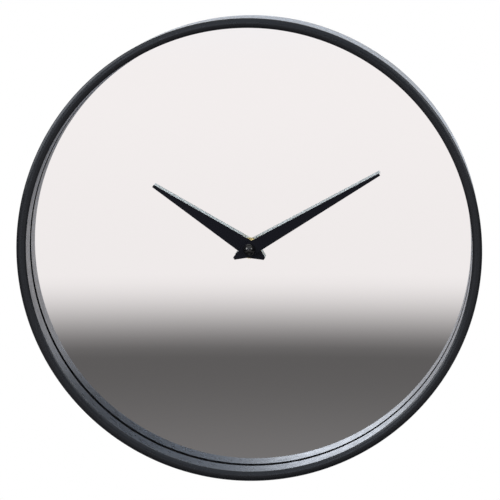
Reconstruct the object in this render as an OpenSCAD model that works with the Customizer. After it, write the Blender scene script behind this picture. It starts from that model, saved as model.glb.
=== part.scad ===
// Round mirror wall clock: a deep ring frame, a mirror dial sunk into it, two hands and a quartz movement.
// Millimetres. Each piece is drawn face up, x right, y up, z towards the viewer, and stood up at the end.
// The origin is on the hand arbor's axis, half way through the ring's depth.

/* [Frame ring] */
// Outer diameter of the ring
frame_d = 305; // [295:1:320]
// Width of the ring seen from the front
rim_w = 6.4; // [6.2:0.1:7.2]
// Height of the crown across the ring's front
rim_crown = 1; // [0.8:0.1:1.6]
// Radius of the ring's two front edges
rim_edge = 0.8; // [0.5:0.1:1.2]
// Depth from the crown to the mirror
recess_depth = 22.5; // [20:0.5:26]
// Thickness of the ring's inner wall
inner_wall_t = 2; // [1.6:0.1:2.2]
// Thickness of the ring's outer wall
outer_wall_t = 2.2; // [2:0.1:2.4]
// Thickness of the ring behind its crown
front_web_t = 3; // [2.4:0.1:4]
// How far the rear flange stands in from the outer wall
flange_w = 1.5; // [1.3:0.1:1.7]
// Thickness of the rear flange
flange_t = 1.4; // [1:0.1:2]

/* [Mirror and board] */
// Thickness of the mirror glass
mirror_t = 3; // [2.5:0.1:4]
// Thickness of the backing board
board_t = 2.5; // [2:0.1:3.5]
// Thickness of the foam ring in front of the mirror
seal_t = 3.2; // [2:0.1:4]
// How far the foam ring stays back from the ring's inner face
seal_back = 0.9; // [0.6:0.1:1.1]
// Play of the mirror and board inside the rear flange
glass_play = 0.4; // [0.3:0.1:0.6]
// Diameter of the hole through mirror and board
centre_hole_d = 9.2; // [8.6:0.1:10]

/* [Spring clips] */
// Number of clips around the ring
clip_count = 8; // [6:1:12]
// Length of a clip along the ring
clip_l = 26; // [22:1:30]
// Width of a clip across the ring
clip_w = 8; // [6:0.5:10]
// Thickness of the spring strip
clip_t = 0.5; // [0.4:0.05:0.6]
// Height of a bowed clip
clip_bow = 2.2; // [1.8:0.1:2.6]

/* [Hands] */
// Minute hand, from the arbor to its tip
minute_len = 99; // [90:0.5:105]
// Hour hand, from the arbor to its tip
hour_len = 76; // [66:0.5:80]
// Both hands, from the arbor to the tail end
hand_tail = 11.8; // [10:0.1:14]
// Widest part of the minute hand
minute_w = 9.4; // [8.4:0.1:10.4]
// Widest part of the hour hand
hour_w = 11.2; // [10:0.1:12.4]
// Width of a hand at its tip and tail end
hand_tip_w = 1.8; // [1.4:0.1:2.2]
// Distance of the widest part behind the arbor
hand_wide_back = 2.2; // [1.5:0.1:3]
// Thickness of the hand sheet
hand_t = 0.5; // [0.4:0.05:0.7]
// Angle of the minute hand from twelve, clockwise
minute_angle = 59.5; // [0:0.5:359.5]
// Angle of the hour hand from twelve, clockwise
hour_angle = 303; // [0:0.5:359.5]
// Height of the hour hand over the mirror
hour_height = 5.4; // [5.2:0.1:6]
// Height of the minute hand over the mirror
minute_height = 8.4; // [8.2:0.1:9]
// Diameter of the domed cap nut
cap_d = 7.6; // [7:0.1:9]
// Height of the domed cap nut
cap_h = 3.8; // [3.6:0.1:4.5]

/* [Centre fixing] */
// Diameter of the threaded bushing
bushing_d = 8; // [7.8:0.1:8.2]
// Width across flats of the hex nut
nut_flats = 11; // [10.5:0.5:12]
// Thickness of the hex nut
nut_t = 2.6; // [2.2:0.1:2.8]
// Diameter of the brass washer
washer_d = 14; // [13:0.5:15]
// Thickness of the brass washer
washer_t = 0.6; // [0.5:0.1:0.8]
// Diameter of the rubber washer
rubber_d = 19; // [16:0.5:22]
// Thickness of the rubber washer
rubber_t = 0.6; // [0.5:0.1:1]
// Outer diameter of the hour pipe
hour_pipe_d = 5; // [4.9:0.1:5.1]
// Outer diameter of the minute arbor
minute_arbor_d = 3.5; // [3.4:0.1:3.6]
// Width across the flats of the minute arbor
minute_flats = 2.6; // [2.4:0.1:2.8]
// Outer diameter of the seconds arbor
seconds_arbor_d = 1.1; // [1:0.1:1.2]

/* [Hanger] */
// Thickness of the hanger bracket
hanger_t = 1; // [0.8:0.1:1.2]
// Width of the hanger bracket
hanger_w = 22; // [18:1:26]
// Radius of the hanger bracket's corners
hanger_round = 3; // [2:0.5:5]
// Diameter of the keyhole's round end
keyhole_d = 9; // [8:0.5:10]
// Width of the keyhole's slot
keyhole_slot_w = 4.4; // [3.6:0.1:4.6]
// Height of the slot above the keyhole's round end
keyhole_rise = 8; // [7:0.5:10]

/* [Movement case] */
// Diameter of the battery cell
cell_d = 14.5; // [14.2:0.1:14.6]
// Length of the battery cell over its nub
cell_l = 50.5; // [50:0.1:51]
// Diameter of the cell's nub
nub_d = 5.5; // [5:0.1:6]
// Length of the cell's nub
nub_l = 1.2; // [1:0.1:1.5]
// Thickness of the case's side walls
case_wall_t = 1.8; // [1.5:0.1:2.2]
// Thickness of the case's front wall
case_front_t = 1.4; // [1.3:0.1:1.5]
// Thickness of the rear cover
cover_t = 1.6; // [1.5:0.1:1.7]
// Thickness of the battery bay's floor
bay_floor_t = 0.6; // [0.5:0.1:0.9]
// Thickness of the wall between battery bay and wheels
partition_t = 1.1; // [0.9:0.1:1.4]
// Radius of the finger notch in the battery bay's wall
notch_r = 7; // [6:0.5:8]
// Width of the cover's tabs
tab_w = 5; // [4:0.5:6]
// Diameter of the setting knob
knob_d = 10; // [9:0.1:10.4]

/* [Wheels] */
// Centre distance of the motion work
motion_c = 10.1; // [10:0.05:10.2]
// Centre distance of the going train
train_c = 10.1; // [10:0.05:10.2]
// Centre distance of the rotor and the step wheel
rotor_c = 7.84; // [7.6:0.02:8]
// Diameter of the wheel arbors
arbor_d = 1; // [0.8:0.05:1.1]
// Thickness of a wheel's toothed disc
wheel_t = 1; // [0.8:0.1:1.1]
// Depth of the dish in a wheel's rear face
web_dip = 0.3; // [0.2:0.05:0.4]
// Diameter of the rotor's magnet
magnet_d = 5.2; // [4.6:0.1:5.6]

/* [Clearances] */
// Radial play of parts that turn in each other
turn_play = 0.06; // [0.04:0.01:0.08]
// Radial play of parts that are pushed on or screwed on
push_play = 0.03; // [0.02:0.01:0.05]
// Gap between parts that lie on each other without turning
seat_gap = 0.05; // [0.02:0.01:0.08]
// Gap of the setting knob inside its well
knob_gap = 0.5; // [0.4:0.1:0.7]
// Gap of the rear cover inside the case
cover_gap = 0.1; // [0.05:0.01:0.15]
// Radial play of washers and bracket round the bushing
hole_play = 0.15; // [0.1:0.05:0.2]
// Gap between wheels, collars and bosses that turn past each other
run_gap = 0.2; // [0.15:0.05:0.25]
// Gap between the movement and the wall
wall_gap = 0.2; // [0.1:0.1:0.5]
// Gap of a spring clip inside the ring's outer wall
clip_gap = 0.3; // [0.2:0.1:0.5]

/* [Hidden] */
$fn = 96;
arc_steps = 8;
// Overshoot of cuts, and how far fused shapes run into each other
cut = 1;
fuse = 0.1;

// Teeth of each wheel and pinion
cannon_n = 12;
motion_n = 36;
motion_pinion_n = 10;
hour_n = 40;
knob_pinion_n = 12;
leaves_n = 8;
third_n = 60;
centre_n = 64;
seconds_n = 40;
step_n = 48;

// Tooth shape in modules
wheel_half = 0.72;
wheel_add = 1.1;
wheel_ded = 1.15;
pinion_half = 0.55;
pinion_add = 0.75;
pinion_ded = 1.5;

// Modules that follow from the centre distances
cannon_m = 2 * motion_c / (cannon_n + motion_n);
hour_m = 2 * motion_c / (motion_pinion_n + hour_n);
third_m = 2 * train_c / (leaves_n + third_n);
centre_m = 2 * train_c / (leaves_n + centre_n);
seconds_m = 2 * train_c / (leaves_n + seconds_n);
rotor_m = 2 * rotor_c / (leaves_n + step_n);

// Directions from one axis to the next, and where the axes stand
motion_dir = 30;
third_dir = 165;
step_dir = 90;
rotor_dir = 30;
knob_dir = 0;
motion_at = motion_c * [cos(motion_dir), sin(motion_dir)];
third_at = train_c * [cos(third_dir), sin(third_dir)];
step_at = train_c * [cos(step_dir), sin(step_dir)];
rotor_at = step_at + rotor_c * [cos(rotor_dir), sin(rotor_dir)];
knob_at = motion_at + motion_c * [cos(knob_dir), sin(knob_dir)];

// Turn of a meshing wheel that puts its gap over the other wheel's tooth
function mesh_phase(dir, phase, n, other_n) = dir + 180 + 180 / other_n - (phase - dir) * n / other_n;
motion_phase = mesh_phase(motion_dir, 0, cannon_n, motion_n);
hour_phase = mesh_phase(motion_dir + 180, 0, motion_pinion_n, hour_n);
knob_phase = mesh_phase(knob_dir, motion_phase, motion_n, knob_pinion_n);
third_phase = mesh_phase(third_dir, 0, leaves_n, third_n);
centre_phase = mesh_phase(third_dir + 180, 0, leaves_n, centre_n);
step_phase = mesh_phase(step_dir, 0, seconds_n, leaves_n);
rotor_phase = mesh_phase(rotor_dir, 0, step_n, leaves_n);

// Levels along the axis, front to rear
move_depth = bay_floor_t + cell_d + 2 * seat_gap;
frame_depth = recess_depth + mirror_t + board_t + rubber_t + hanger_t + move_depth + wall_gap;
lip_z = frame_depth / 2;
wall_z = -frame_depth / 2;
mirror_z = lip_z - recess_depth;
board_z = mirror_z - mirror_t;
board_rear_z = board_z - board_t;
hanger_z = board_rear_z - rubber_t;
move_z = hanger_z - hanger_t;
move_rear_z = move_z - move_depth;
chamber_z = move_z - case_front_t;
chamber_d = move_depth - case_front_t - cover_t;
thread_over = 0.6;
pipe_over = 0.6;
cap_top_t = 1.2;
bushing_top_z = mirror_z + washer_t + nut_t + thread_over;
hour_hand_z = mirror_z + hour_height;
minute_hand_z = mirror_z + minute_height;
hour_pipe_top_z = hour_hand_z + hand_t + pipe_over;
cap_z = minute_hand_z + hand_t + seat_gap;
minute_top_z = cap_z + cap_h - cap_top_t;

// Radii of the ring
frame_r = frame_d / 2;
lip_r = frame_r - rim_w;
rebate_r = frame_r - outer_wall_t;
flange_r = rebate_r - flange_w;
mirror_r = flange_r - glass_play;
crown_r = (rim_w * rim_w / 4 + rim_crown * rim_crown) / (2 * rim_crown);
rear_edge = 0.4;

// Radii of the centre stack
bushing_r = bushing_d / 2;
hour_pipe_r = hour_pipe_d / 2;
minute_r = minute_arbor_d / 2;
seconds_r = seconds_arbor_d / 2;
arbor_r = arbor_d / 2;
collet_wall = 0.8;
collet_r = hour_pipe_r + collet_wall;
boss_wall = 0.8;
boss_r = arbor_r + boss_wall;

// Movement case outline
cell_room = 0.25;
contact_t = 0.5;
contact_spring = 0.45;
wheel_room = 0.9;
coil_room = 0.4;
coil_flange_r = 3.4;
coil_rise = 8.4;
coil_y = rotor_at[1] + coil_rise;
bay_x = cell_l / 2 + contact_t + contact_spring;
chamber_bottom = -centre_m * (centre_n / 2 + wheel_add) - wheel_room - contact_t;
chamber_top = coil_y + coil_flange_r + coil_room;
bay_top = chamber_bottom - partition_t;
cell_y = bay_top - cell_room - cell_d / 2;
bay_bottom = cell_y - cell_d / 2 - cell_room;
case_x = bay_x + case_wall_t;
case_top = chamber_top + case_wall_t;
case_bottom = bay_bottom - case_wall_t;
case_round = 3;
corner_post = 2;
side_post_y = -3;
cell_z = move_rear_z + seat_gap + cell_d / 2;

// Levels of the wheels, as depths behind the case's front wall
hour_w0 = 0.4;
motion_w0 = 2;
clutch_w0 = 3.9;
centre_w0 = 4.3;
third_w0 = 6.1;
seconds_w0 = 7.9;
step_w0 = 9.7;
pivot_front = 0.6;
pivot_rear = 0.3;
rear_boss_h = 1.2;
front_boss_h = 1.2;
leaf_over = 0.2;
cannon_over = 0.3;
knob_w0 = 10;
knob_floor_t = 1;
knob_sink = 0.2;
knob_lift = 0.3;
knob_shaft_r = 1.2;
well_wall = 0.9;
well_r = knob_d / 2 + knob_gap;
arbor_w0 = -pivot_front;
arbor_w1 = chamber_d + pivot_rear;
boss_w0 = chamber_d - rear_boss_h;

// Motor and circuit
stator_w0 = 6;
air_gap = 0.5;
stator_ring = 2;
stator_t = 0.8;
stator_reach = 11;
stator_bar = 4;
core_w = 3;
coil_half = 8;
coil_flange_t = 0.8;
coil_wire_r = 3.1;
bobbin_r = 2.1;
board_w0 = 5;
pcb_t = 0.8;
pcb_gap = 2.2;
pcb_w = 16;
pcb_h = 10.8;
pcb_leg_w = 3.4;
pcb_x0 = pcb_gap - bay_x;
pcb_x1 = pcb_x0 + pcb_w;
pcb_leg_x = pcb_x0 + pcb_leg_w;
pcb_y1 = chamber_top - pcb_gap;
pcb_y0 = pcb_y1 - pcb_h;
post_r = 1.3;
post_edge = 3;
contact_plate = 9;
contact_strip = 3;

// Stands a piece up: the dial then faces -Y and twelve points up
module stand() {
    rotate([90, 0, 0]) children();
}

// Points on an arc, from one angle to another
function arc(x, y, r, from, to) = [
    for (i = [0:arc_steps]) let (a = from + (to - from) * i / arc_steps) [x + r * cos(a), y + r * sin(a)]
];

// Outline of a rectangle with round corners
function round_box(x0, x1, y0, y1, r) = concat(
    arc(x1 - r, y1 - r, r, 0, 90), arc(x0 + r, y1 - r, r, 90, 180),
    arc(x0 + r, y0 + r, r, 180, 270), arc(x1 - r, y0 + r, r, 270, 360)
);

// One tooth, as radius and angle from its middle
function tooth(n, m, half, add, ded) = let (r = n * m / 2, a = half * m / r * 180 / PI) [
    [r - ded * m, -a], [r, -a], [r + add * m / 2, -0.8 * a], [r + add * m, -0.35 * a],
    [r + add * m, 0.35 * a], [r + add * m / 2, 0.8 * a], [r, a], [r - ded * m, a]
];

// Outline of a whole toothed disc
function gear(n, m, half, add, ded, phase) = [
    for (i = [0:n - 1]) for (p = tooth(n, m, half, add, ded))
        let (a = phase + 360 * i / n + p[1]) [p[0] * cos(a), p[0] * sin(a)]
];

// Toothed disc of a wheel, from depth w0 to w1 behind the case's front wall, dished between hub and rim
wheel_rim = 1.2;
wheel_hub_r = 3.2;
module wheel_disc(n, m, phase, w0, w1) {
    dish_r = n * m / 2 - wheel_ded * m - wheel_rim;
    difference() {
        translate([0, 0, chamber_z - w1])
            linear_extrude(w1 - w0) polygon(gear(n, m, wheel_half, wheel_add, wheel_ded, phase));
        difference() {
            bar(dish_r, w1 - web_dip, w1 + cut);
            bar(wheel_hub_r, w1 - web_dip - cut, w1 + 2 * cut);
        }
    }
}

// Leaves of a pinion, from depth w0 to w1
module pinion_disc(n, m, phase, w0, w1) {
    translate([0, 0, chamber_z - w1])
        linear_extrude(w1 - w0) polygon(gear(n, m, pinion_half, pinion_add, pinion_ded, phase));
}

// Round bar between two depths
module bar(r, w0, w1) {
    translate([0, 0, chamber_z - w1]) cylinder(r = r, h = w1 - w0);
}

// Round bar between two levels
module rod(r, z0, z1) {
    translate([0, 0, z0]) cylinder(r = r, h = z1 - z0);
}

// Flat ring between two levels
module ring(r0, r1, z0, z1) {
    difference() {
        rod(r1, z0, z1);
        rod(r0, z0 - cut, z1 + cut);
    }
}

// Box between two corners in the plane, and two levels
module block(x0, x1, y0, y1, z0, z1) {
    translate([x0, y0, z0]) cube([x1 - x0, y1 - y0, z1 - z0]);
}

// Moves a piece onto an axis
module at(place) {
    translate([place[0], place[1], 0]) children();
}

// Angle on the crown where the rounded edges begin
function edge_z() = lip_z - crown_r + sqrt(pow(crown_r - rim_edge, 2) - pow(rim_w / 2 - rim_edge, 2));
function edge_angle() = atan2(edge_z() - (lip_z - crown_r), rim_w / 2 - rim_edge);

module frame_ring() {
    seat_z = mirror_z + seal_t;
    web_z = lip_z - front_web_t;
    clip_z = board_rear_z - clip_bow - seat_gap;
    flange_z = clip_z - flange_t;
    middle_r = frame_r - rim_w / 2;
    profile = concat(
        [[rebate_r, wall_z], [frame_r - rear_edge, wall_z], [frame_r, wall_z + rear_edge]],
        arc(frame_r - rim_edge, edge_z(), rim_edge, 0, edge_angle()),
        arc(middle_r, lip_z - crown_r, crown_r, edge_angle(), 180 - edge_angle()),
        arc(lip_r + rim_edge, edge_z(), rim_edge, 180 - edge_angle(), 180),
        [[lip_r, seat_z], [lip_r + inner_wall_t, seat_z], [lip_r + inner_wall_t, web_z]],
        [[rebate_r, web_z], [rebate_r, clip_z], [flange_r, clip_z]],
        [[flange_r, flange_z], [rebate_r, flange_z]]
    );
    color("#26272b") stand() rotate_extrude($fn = 180) polygon(profile);
}

module mirror_seal() {
    color("#141414") stand() ring(lip_r + seal_back, lip_r + inner_wall_t, mirror_z, mirror_z + seal_t);
}

module mirror_glass() {
    color("#d9dde0") stand() ring(centre_hole_d / 2, mirror_r, board_z, mirror_z);
}

module backing_board() {
    color("#6b4a32") stand() ring(centre_hole_d / 2, mirror_r, board_rear_z, board_z);
}

module spring_clips() {
    rise = clip_bow - clip_t;
    bow_r = (clip_l * clip_l / 4 + rise * rise) / (2 * rise);
    clip_r = sqrt(pow(rebate_r - clip_gap, 2) - clip_l * clip_l / 4);
    color("#8f9398") stand() for (i = [0:clip_count - 1])
        rotate([0, 0, 360 * (i + 0.5) / clip_count])
            translate([clip_r, 0, board_rear_z - seat_gap / 2 - bow_r]) rotate([90, 0, -90])
                linear_extrude(clip_w) intersection() {
                    difference() {
                        circle(r = bow_r);
                        circle(r = bow_r - clip_t);
                    }
                    translate([-clip_l / 2, 0]) square([clip_l, 2 * bow_r]);
                }
}

module rubber_washer() {
    color("#1b1b1b") stand() ring(bushing_r + hole_play, rubber_d / 2, hanger_z, board_rear_z);
}

// The bracket's bent sheet, as a side view that is drawn along its width
bend_r = 0.6;
module hanger_sheet(foot_y, tab_y, top_y, tab_z) {
    outer_r = bend_r + hanger_t;
    front_bend = [tab_y - bend_r, move_z - bend_r];
    rear_bend = [tab_y + outer_r, tab_z + outer_r];
    side = concat(
        [[foot_y, move_z], [foot_y, hanger_z]],
        arc(front_bend[0], front_bend[1], outer_r, 90, 0),
        arc(rear_bend[0], rear_bend[1], bend_r, 180, 270),
        [[top_y, tab_z + hanger_t], [top_y, tab_z]],
        arc(rear_bend[0], rear_bend[1], outer_r, 270, 180),
        arc(front_bend[0], front_bend[1], bend_r, 0, 90)
    );
    translate([-hanger_w / 2, 0, 0]) rotate([90, 0, 90]) linear_extrude(hanger_w) polygon(side);
}

module hanger_bracket() {
    key_edge = 4;
    slot_edge = 5;
    foot_edge = 1.5;
    tab_sink = 1;
    tab_y = case_top + bend_r;
    key_y = tab_y + hanger_t + key_edge + keyhole_d / 2;
    slot_y = key_y + keyhole_rise;
    top_y = slot_y + keyhole_slot_w / 2 + slot_edge;
    foot_y = -rubber_d / 2 - foot_edge;
    tab_z = move_rear_z + tab_sink;
    color("#a7abaf") stand() difference() {
        intersection() {
            hanger_sheet(foot_y, tab_y, top_y, tab_z);
            translate([0, 0, tab_z - cut]) linear_extrude(hanger_z - tab_z + 2 * cut)
                polygon(round_box(-hanger_w / 2, hanger_w / 2, foot_y, top_y, hanger_round));
        }
        rod(bushing_r + hole_play, move_z - cut, hanger_z + cut);
        at([0, key_y]) rod(keyhole_d / 2, tab_z - cut, tab_z + hanger_t + cut);
        at([0, slot_y]) rod(keyhole_slot_w / 2, tab_z - cut, tab_z + hanger_t + cut);
        block(-keyhole_slot_w / 2, keyhole_slot_w / 2, key_y, slot_y, tab_z - cut, tab_z + hanger_t + cut);
    }
}

// Room for the bushing's flange in the case's front wall
flange_seat_w = 1.6;
flange_seat_t = 0.8;
flange_seat_r = bushing_r + flange_seat_w;

module threaded_bushing() {
    color("#c9a24a") stand() difference() {
        union() {
            rod(bushing_r, chamber_z, bushing_top_z);
            rod(flange_seat_r, move_z - flange_seat_t, move_z);
        }
        rod(hour_pipe_r + turn_play, chamber_z - cut, bushing_top_z + cut);
    }
}

module brass_washer() {
    color("#c8a14c") stand() ring(bushing_r + hole_play, washer_d / 2, mirror_z, mirror_z + washer_t);
}

module hex_nut() {
    corner_r = nut_flats / sqrt(3);
    z0 = mirror_z + washer_t;
    bevel = 0.5;
    round_r = corner_r + fuse;
    land_r = nut_flats / 2 - fuse;
    color("#cda850") stand() difference() {
        intersection() {
            translate([0, 0, z0]) cylinder(r = corner_r, h = nut_t, $fn = 6);
            union() {
                rod(round_r, z0, z0 + nut_t - bevel);
                translate([0, 0, z0 + nut_t - bevel]) cylinder(r1 = round_r, r2 = land_r, h = bevel);
            }
        }
        rod(bushing_r + push_play, z0 - cut, z0 + nut_t + cut);
    }
}

// Holes for the front pivots of the wheels
module front_pivots() {
    for (place = [third_at, step_at, rotor_at, motion_at, knob_at])
        at(place) bar(arbor_r + turn_play, arbor_w0 - run_gap, front_boss_h + cut);
}

// Heights of the cover's tabs on both sides of the case
tab_rows = [0, 18];

module movement_case() {
    slot_x = bay_x - contact_t - run_gap;
    slot_half = contact_strip / 2 + run_gap;
    color("#1e1f22") stand() difference() {
        union() {
            difference() {
                translate([0, 0, move_rear_z]) linear_extrude(move_depth)
                    polygon(round_box(-case_x, case_x, case_bottom, case_top, case_round));
                block(-bay_x, bay_x, chamber_bottom, chamber_top, move_rear_z - cut, chamber_z);
                block(-bay_x, bay_x, bay_bottom, bay_top, move_rear_z - cut, move_z - bay_floor_t);
                for (x = [-bay_x, slot_x]) block(
                    x, x + bay_x - slot_x, bay_top - cut, chamber_bottom + cut,
                    cell_z - slot_half, cell_z + slot_half
                );
                translate([0, case_bottom - cut, move_rear_z]) rotate([-90, 0, 0])
                    cylinder(r = notch_r, h = case_wall_t + 2 * cut);
                for (y = tab_rows) block(
                    -case_x - cut, case_x + cut, y - tab_w / 2 - cover_gap, y + tab_w / 2 + cover_gap,
                    move_rear_z - cut, move_rear_z + cover_t + cover_gap
                );
                rod(bushing_r + push_play, chamber_z - cut, move_z + cut);
                rod(flange_seat_r + push_play, move_z - flange_seat_t, move_z + cut);
            }
            for (place = [third_at, step_at, rotor_at])
                at(place) bar(boss_r, -fuse, front_boss_h);
            for (x = [-stator_reach, stator_reach])
                at(rotor_at + [x, 0]) bar(post_r, -fuse, stator_w0);
            for (x = [pcb_x0 + post_edge, pcb_x1 - post_edge])
                at([x, pcb_y1 - post_edge]) bar(post_r, -fuse, board_w0);
            at([(pcb_x0 + pcb_leg_x) / 2, 0]) bar(post_r, -fuse, board_w0);
            for (x = [-bay_x - fuse, bay_x - corner_post])
                for (y = [side_post_y, chamber_top - corner_post]) block(
                    x, x + corner_post + fuse, y, y + corner_post, move_rear_z + cover_t, chamber_z + fuse
                );
        }
        front_pivots();
    }
}

module movement_cover() {
    floor_w0 = knob_w0 - knob_lift - knob_floor_t;
    tab_x = case_x - cover_gap;
    color("#232427") stand() difference() {
        union() {
            block(
                -bay_x + cover_gap, bay_x - cover_gap, chamber_bottom + cover_gap,
                chamber_top - cover_gap, move_rear_z, move_rear_z + cover_t
            );
            for (y = tab_rows)
                block(-tab_x, tab_x, y - tab_w / 2, y + tab_w / 2, move_rear_z, move_rear_z + cover_t);
            for (place = [[0, 0], third_at, step_at, rotor_at, motion_at])
                at(place) bar(boss_r, boss_w0, chamber_d + fuse);
            at(knob_at) bar(well_r + well_wall, floor_w0, chamber_d + fuse);
        }
        for (place = [third_at, step_at, rotor_at, motion_at])
            at(place) bar(arbor_r + turn_play, boss_w0 - cut, arbor_w1 + run_gap);
        bar(seconds_r + turn_play, boss_w0 - cut, arbor_w1 + run_gap);
        at(knob_at) bar(well_r, floor_w0 + knob_floor_t, chamber_d + cover_t + cut);
        at(knob_at) bar(knob_shaft_r + turn_play, floor_w0 - cut, floor_w0 + knob_floor_t + cut);
    }
}

// A battery contact's plate and the strip that leads up from it, between two edges along the case
module contact_foot(x0, x1, top_y) {
    plate = contact_plate / 2;
    strip = contact_strip / 2;
    block(x0, x1, cell_y - plate, cell_y + plate, cell_z - plate, cell_z + plate);
    block(x0, x1, cell_y, top_y, cell_z - strip, cell_z + strip);
}

module contact_positive() {
    strip = contact_strip / 2;
    top_y = chamber_bottom + contact_t;
    color("#b9bcbf") stand() union() {
        contact_foot(bay_x - contact_t, bay_x, top_y);
        block(pcb_x0, bay_x, chamber_bottom, top_y, cell_z - strip, cell_z + strip);
    }
}

module contact_negative() {
    dimple_r = 2;
    dimple_h = 0.2;
    lap = 1;
    tab_y = -6;
    pcb_rear_z = chamber_z - board_w0 - pcb_t;
    color("#b9bcbf") stand() union() {
        contact_foot(-bay_x, -bay_x + contact_t, tab_y);
        translate([-bay_x + contact_t - fuse, cell_y, cell_z]) rotate([0, 90, 0])
            cylinder(r = dimple_r, h = fuse + dimple_h);
        block(-bay_x, pcb_x0 + lap, tab_y - contact_strip, tab_y, pcb_rear_z - contact_t, pcb_rear_z);
    }
}

module circuit_board() {
    foot_y = chamber_bottom + contact_t;
    outline = [
        [pcb_x0, foot_y], [pcb_leg_x, foot_y], [pcb_leg_x, pcb_y0],
        [pcb_x1, pcb_y0], [pcb_x1, pcb_y1], [pcb_x0, pcb_y1]
    ];
    color("#2f6b3d") stand() translate([0, 0, chamber_z - board_w0 - pcb_t])
        linear_extrude(pcb_t) polygon(outline);
}

module control_chip() {
    chip_w = 5;
    chip_t = 1.2;
    chip_in = 6;
    rear_z = chamber_z - board_w0 - pcb_t;
    color("#101010") stand() at([pcb_x0 + chip_in, (pcb_y0 + pcb_y1) / 2])
        block(-chip_w / 2, chip_w / 2, -chip_w / 2, chip_w / 2, rear_z - chip_t, rear_z);
}

module quartz_crystal() {
    can_r = 1;
    can_l = 6;
    can_in = 3;
    rear_z = chamber_z - board_w0 - pcb_t;
    color("#c4c6c8") stand()
        translate([pcb_x1 - can_in, (pcb_y0 + pcb_y1 - can_l) / 2, rear_z - can_r - seat_gap])
            rotate([-90, 0, 0]) cylinder(r = can_r, h = can_l);
}

// Middle of the coil, at the level of its core
module at_coil() {
    translate([rotor_at[0], coil_y, chamber_z - stator_w0 - 1.5 * stator_t]) rotate([0, 90, 0]) children();
}

module coil_bobbin() {
    color("#e4e0d4") stand() at_coil() difference() {
        union() {
            rod(bobbin_r, -coil_half, coil_half);
            rod(coil_flange_r, -coil_half, -coil_half + coil_flange_t);
            rod(coil_flange_r, coil_half - coil_flange_t, coil_half);
        }
        block(
            -stator_t / 2 - seat_gap, stator_t / 2 + seat_gap, -core_w / 2 - seat_gap, core_w / 2 + seat_gap,
            -coil_half - cut, coil_half + cut
        );
    }
}

module coil_winding() {
    half = coil_half - coil_flange_t - seat_gap;
    color("#b5652d") stand() at_coil() ring(bobbin_r + push_play, coil_wire_r, -half, half);
}

module coil_core() {
    half = stator_reach + stator_bar / 2;
    color("#7d8084") stand() at_coil()
        block(-stator_t / 2, stator_t / 2, -core_w / 2, core_w / 2, -half, half);
}

module stator() {
    half = stator_reach + stator_bar / 2;
    bar_half = stator_bar / 2;
    hole_r = magnet_d / 2 + air_gap;
    color("#85888c") stand() translate([rotor_at[0], 0, chamber_z - stator_w0 - stator_t])
        linear_extrude(stator_t) difference() {
            union() {
                translate([0, rotor_at[1]]) circle(r = hole_r + stator_ring);
                translate([-half, rotor_at[1] - bar_half]) square([2 * half, stator_bar]);
                for (x = [-half, half - stator_bar])
                    translate([x, rotor_at[1]]) square([stator_bar, coil_y + core_w / 2 - rotor_at[1]]);
            }
            translate([0, rotor_at[1]]) circle(r = hole_r);
        }
}

// Core of the rotor, that its magnet is pressed on
rotor_hub_r = 1.3;
magnet_w0 = 4.6;
magnet_w1 = 8;

module rotor_magnet() {
    color("#3c3e42") stand() at(rotor_at) difference() {
        bar(magnet_d / 2, magnet_w0, magnet_w1);
        bar(rotor_hub_r + push_play, magnet_w0 - cut, magnet_w1 + cut);
    }
}

module rotor_pinion() {
    color("#d8d4c6") stand() at(rotor_at) union() {
        bar(arbor_r, arbor_w0, arbor_w1);
        bar(rotor_hub_r, magnet_w0, magnet_w1);
        pinion_disc(leaves_n, rotor_m, rotor_phase, magnet_w1, step_w0 + wheel_t + leaf_over);
    }
}

module step_wheel() {
    color("#cfcabb") stand() at(step_at) union() {
        bar(arbor_r, arbor_w0, arbor_w1);
        pinion_disc(leaves_n, seconds_m, step_phase, seconds_w0 - leaf_over, step_w0);
        wheel_disc(step_n, rotor_m, 0, step_w0, step_w0 + wheel_t);
    }
}

module seconds_wheel() {
    color("#d6d1c2") stand() union() {
        bar(seconds_r, chamber_z - minute_top_z, arbor_w1);
        pinion_disc(leaves_n, third_m, 0, third_w0 - leaf_over, seconds_w0);
        wheel_disc(seconds_n, seconds_m, 0, seconds_w0, seconds_w0 + wheel_t);
    }
}

module third_wheel() {
    color("#cbc6b6") stand() at(third_at) union() {
        bar(arbor_r, arbor_w0, arbor_w1);
        pinion_disc(leaves_n, centre_m, 0, centre_w0 - leaf_over, third_w0);
        wheel_disc(third_n, third_m, third_phase, third_w0, third_w0 + wheel_t);
    }
}

module centre_wheel() {
    hub_r = 3;
    color("#d2ccbc") stand() difference() {
        union() {
            wheel_disc(centre_n, centre_m, centre_phase, centre_w0, centre_w0 + wheel_t);
            bar(hub_r, centre_w0 - fuse, centre_w0 + wheel_t + fuse);
        }
        bar(minute_r + turn_play, centre_w0 - cut, centre_w0 + wheel_t + cut);
    }
}

module clutch_spring() {
    clutch_r = 3.2;
    color("#9da1a6") stand() difference() {
        bar(clutch_r, clutch_w0, centre_w0 - fuse - seat_gap);
        bar(minute_r + turn_play, clutch_w0 - cut, centre_w0 + cut);
    }
}

module minute_arbor() {
    tail_w = third_w0 - leaf_over - run_gap;
    leaf_w = motion_w0 + wheel_t + cannon_over;
    shoulder_r = 2.2;
    flat_half = minute_flats / 2;
    color("#c7c2b4") stand() difference() {
        union() {
            bar(minute_r, chamber_z - minute_hand_z, tail_w);
            pinion_disc(cannon_n, cannon_m, 0, motion_w0 - fuse, leaf_w);
            bar(shoulder_r, leaf_w, clutch_w0);
            intersection() {
                rod(minute_r, minute_hand_z - fuse, minute_top_z);
                rotate([0, 0, -minute_angle])
                    block(-flat_half, flat_half, -minute_r, minute_r, minute_hand_z - cut, minute_top_z);
            }
        }
        rod(seconds_r + turn_play, chamber_z - tail_w - cut, minute_top_z + cut);
    }
}

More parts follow.
